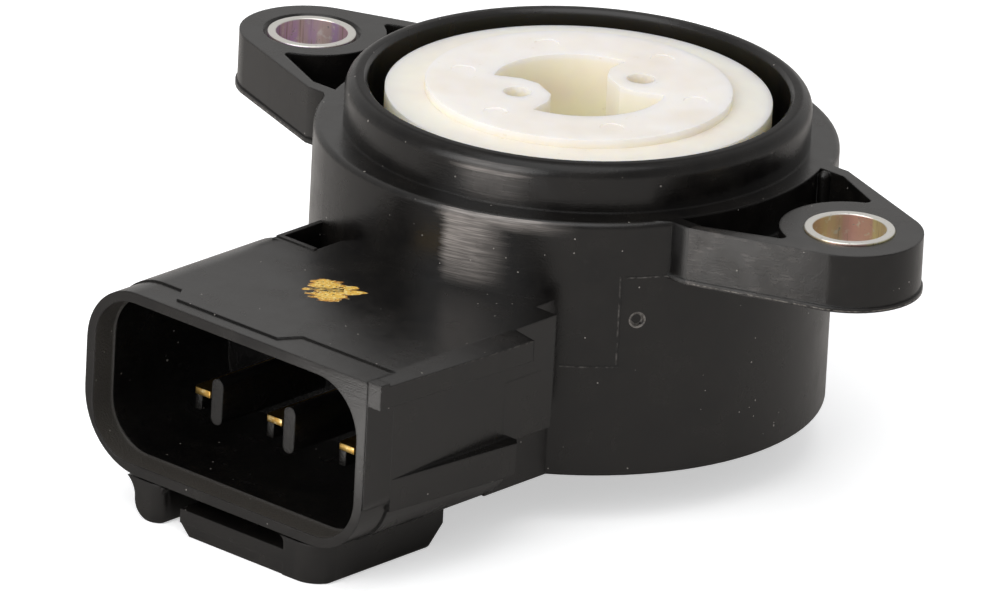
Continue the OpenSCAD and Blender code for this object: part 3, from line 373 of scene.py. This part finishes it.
def black_moulding():
    """PBT with glass fibre, injection moulded: near black with a half gloss, finely uneven, scuffed and dusty, with
    painted highlights beside the socket and on the right ear, a painted light band in the socket's mouth and painted
    shade deeper in.
    """
    material, tree, output = new_material("glass_filled_pbt_black")
    at = moulding_place(tree)
    # The glass fibres are 0.01 mm thick in truth, and their texture is drawn 0.16 mm coarse so that it shows
    fine = cloud(tree, at.where, 0.16, 0.3, 0.7)
    broad = cloud(tree, at.where, 3.0, 0.3, 0.7)
    # Rubbing leaves lines of about 0.02 mm, drawn 0.13 mm wide so that they show
    lines = scratches(tree, at.unrolled, (0.16, 2.0, 0.13), 0.42, 0.68)
    rounded, edge = rounded_edges(tree, at)
    rub_and_highlight = rubbed_walls_and_highlights(tree, at, lines, broad)

    # The lead-in band just inside the socket's mouth is rougher from the plugs that wore it, and painted lighter as a
    # painted pool of the light that reaches in; deeper in, the faces are grainy and painted darker as painted shade
    inside = inside_socket(tree, at)
    painted_light_mouth_band = overlap(tree, inside, faded(tree, (at.y, MOUTH_Y + 2.3, MOUTH_Y + 2.15)))
    # Deeper in the socket the inner faces are grainy and painted darker, a painted shade
    grain = overlap(tree, inside, cloud(tree, at.where, 0.22, 0.45, 0.6))

    # The spigot's rim is duller than the rest, and darkest at its inner edge
    rim = overlap(tree, stroke(tree, at.radius, SPIGOT_TOP_R - 0.4, 0.9, at.z, 2.0, 5.0),
                  faded(tree, (at.z, 3.0, 3.6)))
    inner_rim = overlap(tree, rim, faded(tree, (at.radius, SPIGOT_TOP_R - 0.45, SPIGOT_TOP_R - 0.7)))

    # Loose specks of dust, most of them small, and the mould's pin by the insert with its light rim
    dust = any_of(tree, specks(tree, at.where, 0.9, 0.07, 0.2), specks(tree, at.where, 2.4, 0.1, 0.08))
    pin = add(tree, "ShaderNodeVectorMath", {0: at.where, 1: PIN_MARK}, operation="DISTANCE").outputs["Value"]
    pin_rim = overlap(tree, stroke(tree, pin, 0.62, 0.09, at.z, -10, -7), cloud(tree, at.where, 0.5, 0.3, 0.55))

    traces, trace_rims = witness_lines(tree, at)
    dab, paint = paint_dab(tree, at)
    colour = layered(
        tree, linear("#0B0A0A"),
        (linear("#151311"), broad),
        (linear("#1C1A18"), cloud(tree, at.where, 0.5, 0.6, 0.8)),
        # Painted shade on the grainy inner faces deep in the socket
        (linear("#060606"), grain),
        # Painted light: the lit band just inside the socket's mouth
        (linear("#3F3C38"), painted_light_mouth_band),
        # Rubbing lines on the walls beside the socket, with painted highlights
        (linear("#ADA59F"), rub_and_highlight),
        # Scratches on the right ear's near side, with a painted reflection and a painted highlight at its root
        (linear("#5F5955"), rubbed_ear_and_highlight(tree, at)),
        (linear("#6E6963"), worn_edges(tree, at, edge, inside)),
        (linear("#6E6964"), pin_rim),
        (linear("#8F8A84"), dust),
        (linear("#050505"), traces),
        (linear("#4A4744"), trace_rims),
        (paint, dab))

    # The resin's skin shines; paint, the places with rubbing lines and painted highlights, and the painted light band
    # in the mouth shine less, and the spigot's rim mirrors less
    dulled = add(tree, "ShaderNodeMath", {0: rim, 1: inner_rim}, operation="ADD").outputs[0]
    shine = add(tree, "ShaderNodeMath", {0: dulled, 1: -0.2, 2: 0.5}, operation="MULTIPLY_ADD").outputs[0]
    rough = faded(tree, (broad, 0.0, 1.0, 0.2, 0.28))
    rough = add(tree, "ShaderNodeMath", {0: any_of(tree, dab, rub_and_highlight, painted_light_mouth_band), 1: 0.14, 2: rough},
                operation="MULTIPLY_ADD").outputs[0]
    height = fine
    for mask, lift in ((broad, 2.0), (lines, 0.5), (traces, -6.0), (dab, 8.0), (dust, 6.0), (grain, -4.0)):
        height = add(tree, "ShaderNodeMath", {0: mask, 1: lift, 2: height}, operation="MULTIPLY_ADD").outputs[0]
    finish(tree, output, colour, rough, height, 0.004, rounded, **{"Specular IOR Level": shine})
    return material


def white_moulding():
    """Natural acetal, moulded: silky white and a little pink on its face; lower down it turns cream, its own tint
    where it is thick, made brighter as painted light for the glow inside its opening.
    """
    material, tree, output = new_material("natural_acetal_white")
    where, _, _, z = millimetres(tree)
    colour = layered(
        tree, linear("#F7F0EA"),
        (linear("#F8F0E2"), faded(tree, (z, 3.6, 3.3))),
        # Lower down: cream, brightened as painted light for the glow inside the opening
        (linear("#FFF6DA"), faded(tree, (z, 3.4, -1.0))),
        (linear("#EFE6DB"), cloud(tree, where, 6.0, 0.45, 0.75)),
        (linear("#E6DAC6"), cloud(tree, where, 0.8, 0.7, 0.84)),
        (linear("#A0907A"), specks(tree, where, 2.4, 0.06, 0.05)))
    # The skin's grain is finer in truth, and is drawn 0.25 mm coarse so that it shows
    height = add(tree, "ShaderNodeMath", {0: cloud(tree, where, 0.25, 0.3, 0.7),
                                          1: cloud(tree, where, 4.0, 0.2, 0.8, 1.0)}, operation="ADD").outputs[0]
    finish(tree, output, colour, 0.36, height, 0.003, **{
        "Subsurface Weight": 0.8, "Subsurface Radius": (1.0, 0.9, 0.65), "Subsurface Scale": 2.5 * MM})
    return material


def plated_steel():
    """Steel tube, cut, zinc plated and passivated: a bore that goes from tan through pink to yellow on the right ear
    and is violet on the left one, and a lighter silver on the faces that look up."""
    material, tree, output = new_material("zinc_passivated_steel")
    where, x, y, _ = millimetres(tree)
    side = add(tree, "ShaderNodeMath", {0: x}, operation="ABSOLUTE").outputs[0]
    across = add(tree, "ShaderNodeMath", {0: side, 1: HOLE_X}, operation="SUBTRACT").outputs[0]
    place = add(tree, "ShaderNodeCombineXYZ", {0: across, 1: y}).outputs[0]
    along = add(tree, "ShaderNodeVectorMath", {0: place, 1: (0.75, 0.66, 0)},
                operation="DOT_PRODUCT").outputs["Value"]
    way = add(tree, "ShaderNodeSeparateXYZ", {0: add(tree, "ShaderNodeNewGeometry").outputs["Normal"]}).outputs[2]
    # The tube's draw marks run along the bore; they are finer in truth, and are drawn coarse so that they show
    drawn = scratches(tree, where, (1.6, 1.6, 9.0), 0.35, 0.65)
    tint = add(tree, "ShaderNodeMath", {0: drawn, 1: 1.4, 2: along}, operation="MULTIPLY_ADD").outputs[0]
    colour = layered(
        tree, linear("#DECBA8"),
        (linear("#E0BAB0"), faded(tree, (tint, -0.9, 0.2), (tint, 2.6, 1.7))),
        (linear("#E6DFB0"), faded(tree, (tint, 1.8, 2.7))),
        (linear("#D6BEDD"), faded(tree, (x, 1.0, -1.0), (drawn, 0.2, 0.8, 0.45, 0.95))),
        (linear("#F1EFE6"), cloud(tree, where, 0.6, 0.58, 0.74)),
        (linear("#AC9A7C"), scratches(tree, where, (0.25, 0.25, 6.0), 0.6, 0.75)),
        # Lighter silver on the faces that look up
        (linear("#E2E0DA"), faded(tree, (way, 0.3, 0.6))),
        (linear("#A9A69E"), cloud(tree, where, 0.3, 0.64, 0.76)))
    finish(tree, output, colour, 0.3, cloud(tree, where, 0.2, 0.3, 0.7), 0.004, Metallic=0.8)
    return material


def gold_plate():
    """Bronze, stamped and gold plated: bright yellow, with the strip's rolling lines along the tab."""
    material, tree, output = new_material("gold_plated_bronze")
    where = millimetres(tree)[0]
    # The lines are about 0.02 mm apart in truth, and are drawn 0.08 mm wide so that they show
    lines = scratches(tree, where, (0.08, 3.0, 0.08), 0.3, 0.7)
    colour = layered(tree, linear("#E8C476"), (linear("#C99B4B"), cloud(tree, where, 1.5)),
                     (linear("#F3DFA8"), cloud(tree, where, 0.4, 0.55, 0.7)))
    finish(tree, output, colour, 0.28, lines, 0.003, Metallic=1.0)
    return material


def mottled(name, light, dark, size, roughness, metallic=0.0, depth=0.004, grain=0.2):
    """A finish with patches of two tones and a fine grain, sizes in mm, for the pieces that show little."""
    material, tree, output = new_material(name)
    where = millimetres(tree)[0]
    colour = layered(tree, linear(light), (linear(dark), cloud(tree, where, size)))
    finish(tree, output, colour, roughness, cloud(tree, where, grain, 0.3, 0.7), depth, Metallic=metallic)
    return material


def world_light():
    """White backdrop to the camera; a dimmer room to gloss, lighter behind and on the left."""
    world = bpy.data.worlds.new("studio")
    bpy.context.scene.world = world
    world.use_nodes = True
    tree = world.node_tree
    tree.nodes.clear()
    path = add(tree, "ShaderNodeLightPath")
    place = add(tree, "ShaderNodeTexCoord")
    back_left = add(tree, "ShaderNodeVectorMath", {0: place.outputs["Generated"], 1: (-0.62, 0.7, 0.35)},
                    operation="DOT_PRODUCT")
    shade = add(tree, "ShaderNodeMapRange", {0: back_left.outputs["Value"], 1: -0.8, 2: 0.9, 3: 0.25, 4: 0.61})
    sky = add(tree, "ShaderNodeBackground", {"Color": (0.97, 0.98, 1, 1), "Strength": 0.5})
    gloss = add(tree, "ShaderNodeBackground", {"Color": (1, 0.98, 0.96, 1), "Strength": shade.outputs[0]})
    seen = add(tree, "ShaderNodeBackground", {"Color": (1, 1, 1, 1), "Strength": 1.0})
    lit = add(tree, "ShaderNodeMixShader", {0: path.outputs["Is Glossy Ray"], 1: sky.outputs[0], 2: gloss.outputs[0]})
    backdrop = add(tree, "ShaderNodeMixShader", {0: path.outputs["Is Camera Ray"], 1: lit.outputs[0],
                                                 2: seen.outputs[0]})
    output = add(tree, "ShaderNodeOutputWorld")
    tree.links.new(backdrop.outputs[0], output.inputs["Surface"])


def softbox(name, azimuth, elevation, distance, width, height, watts):
    """A rectangular lamp that faces the part's middle, with its size and distance in metres."""
    data = bpy.data.lights.new(name, "AREA")
    data.shape = "RECTANGLE"
    data.size = width
    data.size_y = height
    data.energy = watts
    lamp = bpy.data.objects.new(name, data)
    bpy.context.scene.collection.objects.link(lamp)
    away = direction(azimuth, elevation)
    lamp.location = PART_MIDDLE + away * distance
    lamp.rotation_euler = away.to_track_quat("Z", "Y").to_euler()


def sheet(name, low, high, level, material):
    """A flat rectangle in the frame's XY plane, staged round the part."""
    mesh = bpy.data.meshes.new(name)
    shape = bmesh.new()
    bmesh.ops.create_grid(shape, x_segments=1, y_segments=1, size=0.5)
    size = (high[0] - low[0], high[1] - low[1], 1)
    bmesh.ops.scale(shape, vec=size, verts=shape.verts)
    bmesh.ops.translate(shape, vec=((low[0] + high[0]) / 2, (low[1] + high[1]) / 2, level), verts=shape.verts)
    shape.to_mesh(mesh)
    shape.free()
    mesh.materials.append(material)
    made = bpy.data.objects.new(name, mesh)
    bpy.context.scene.collection.objects.link(made)
    return made


def lay_floor():
    """White sweep that the part stands on, greyer in reflections, and a bright patch that only gloss sees."""
    material, tree, output = new_material("white_paper_sweep")
    path = add(tree, "ShaderNodeLightPath")
    paper = add(tree, "ShaderNodeBsdfPrincipled", {"Base Color": linear("#F4F4F4"), "Roughness": 0.6})
    glow = add(tree, "ShaderNodeEmission", {"Color": (1, 1, 1, 1), "Strength": 0.5})
    both = add(tree, "ShaderNodeAddShader", {0: paper.outputs[0], 1: glow.outputs[0]})
    grey = add(tree, "ShaderNodeBsdfDiffuse", {"Color": (0.6, 0.57, 0.54, 1)})
    mirrored = add(tree, "ShaderNodeMixShader", {0: path.outputs["Is Glossy Ray"], 1: paper.outputs[0],
                                                 2: grey.outputs[0]})
    pick = add(tree, "ShaderNodeMixShader", {0: path.outputs["Is Camera Ray"], 1: mirrored.outputs[0],
                                             2: both.outputs[0]})
    tree.links.new(pick.outputs[0], output.inputs["Surface"])
    sheet("floor", (-FLOOR_HALF, -FLOOR_HALF), (FLOOR_HALF, FLOOR_HALF), FLOOR_Z, material)
    material, tree, output = new_material("lit_paper_patch")
    glow = add(tree, "ShaderNodeEmission", {"Color": (1, 0.97, 0.94, 1), "Strength": 3.2})
    tree.links.new(glow.outputs[0], output.inputs["Surface"])
    patch = sheet("lit_patch", *LIT_PATCH, FLOOR_Z + 0.1 * MM, material)
    patch.visible_camera = False
    patch.visible_diffuse = False
    patch.visible_shadow = False


def round_rims(shape):
    """Rounds the body's front rim and the spigot's top edge, which the mould leaves fuller than the rest."""
    for radius, level, width in ((BODY_R, 0.0, BODY_RIM_ROUNDING),
                                 (SPIGOT_TOP_R, SPIGOT_TOP, SPIGOT_RIM_ROUNDING)):
        rim = [edge for edge in shape.edges if all(
            abs(vert.co.xy.length - radius * MM) < 0.03 * MM and abs(vert.co.z - level * MM) < 0.02 * MM
            for vert in edge.verts)]
        bmesh.ops.bevel(shape, geom=rim, offset=width * MM, affect="EDGES", segments=5, profile=0.5, material=-1,
                        clamp_overlap=True)


def softened(node, name, width):
    """A copy of a CAD node with its sharp edges rounded, which stands for that node."""
    mesh = frame["nodes"][node].data.copy()
    mesh.name = name
    shape = bmesh.new()
    shape.from_mesh(mesh)
    bmesh.ops.remove_doubles(shape, verts=shape.verts, dist=SAME_POINT * MM)
    bmesh.ops.dissolve_limit(shape, angle_limit=math.radians(FLAT_ANGLE), verts=shape.verts, edges=shape.edges)
    if node == "housing":
        round_rims(shape)
    shape.to_mesh(mesh)
    shape.free()
    piece = bpy.data.objects.new(name, mesh)
    bpy.context.scene.collection.objects.link(piece)
    bevel = piece.modifiers.new("moulded edges", "BEVEL")
    bevel.width = width
    bevel.segments = 2
    bevel.limit_method = "ANGLE"
    bevel.angle_limit = math.radians(SHARP_ANGLE)
    bevel.harden_normals = False
    bevel.use_clamp_overlap = True
    bevel.material = -1
    for face in mesh.polygons:
        face.use_smooth = True
    normal = piece.modifiers.new("flat faces", "WEIGHTED_NORMAL")
    normal.keep_sharp = False
    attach(piece, BODY_OF[node])
    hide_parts(node)
    return piece


def dress(piece, material):
    """Give a piece its one material."""
    piece.data.materials.clear()
    piece.data.materials.append(material)


place_camera()
world_light()
softbox("overhead", azimuth=20, elevation=75, distance=0.9, width=0.8, height=0.8, watts=3.2)
softbox("front", azimuth=-2, elevation=28, distance=0.9, width=0.8, height=0.62, watts=4.4)
lay_floor()
bpy.context.scene.view_settings.view_transform = "Standard"

BLACK = black_moulding()
GOLD = gold_plate()
STEEL = plated_steel()
# Moulded PBT, pressed in flush: the same black, matt
COVER = mottled("pbt_rear_cover", "#1B1A19", "#232120", size=3.0, roughness=0.42)
# Drawn and hardened spring wire and strip: bare and bright, a little blotched by the oil
SPRING = mottled("spring_steel_bright", "#A7A8AA", "#86878A", size=1.0, roughness=0.3, metallic=1.0)
# Poured epoxy that set with a glossy skin and shallow waves
SEALANT = mottled("epoxy_sealant_black", "#161615", "#201F1D", size=2.0, roughness=0.22, depth=0.02, grain=1.5)
# Rolled phosphor bronze strip, punched: a warm, half bright metal
BRONZE = mottled("phosphor_bronze_rolled", "#B98F57", "#9C7443", size=1.5, roughness=0.35, metallic=1.0)
# Stamped precious alloy: pale gold and smooth where it slides
CONTACT = mottled("contact_alloy_stamped", "#D3B97C", "#B99D62", size=0.8, roughness=0.25, metallic=1.0)
# Sintered alumina: off-white, dull and faintly speckled
CERAMIC = mottled("alumina_ceramic", "#E4E0D4", "#D6D0C1", size=1.2, roughness=0.55)
# Screen-printed and fired inks: matt black carbon, and a grey silver that its binder dulls
CARBON = mottled("carbon_resistor_ink", "#17171A", "#232327", size=0.4, roughness=0.6)
SILVER = mottled("silver_conductor_ink", "#B9B5AC", "#A19C92", size=0.4, roughness=0.5)
# Tin solder, reflowed: bright, with the frosty patches of cooling
TIN = mottled("tin_solder", "#C3C5C8", "#A2A4A7", size=0.6, roughness=0.25, metallic=1.0)
# Each softened piece: CAD node, name of the piece, rounding in mm, material
SOFTENED = [
    ("housing", "housing_moulding", 0.12, BLACK),
    ("rotor", "rotor_moulding", 0.12, white_moulding()),
    ("bush_left", "bush_ring_left", 0.15, STEEL),
    ("bush_right", "bush_ring_right", 0.15, STEEL),
    ("terminal_left", "terminal_tab_left", 0.06, GOLD),
    ("terminal_middle", "terminal_tab_middle", 0.06, GOLD),
    ("terminal_right", "terminal_tab_right", 0.06, GOLD),
    ("rear_cover", "rear_cover_plate", 0.1, COVER),
    ("rear_sealant", "rear_sealant_ring", 0.15, SEALANT),
]
# The pieces inside keep their CAD shapes
INSIDE = {
    "return_spring": SPRING, "wave_washer": SPRING, "retaining_ring": SPRING, "thrust_washer": BRONZE,
    "brush_carrier": COVER, "contact_brush": CONTACT, "resistor_board": CERAMIC, "resistive_track": CARBON,
    "collector_track": SILVER, "solder_left": TIN, "solder_middle": TIN, "solder_right": TIN,
}
for node, name, width, material in SOFTENED:
    dress(softened(node, name, width * MM), material)
for node, material in INSIDE.items():
    dress(frame["nodes"][node], material)
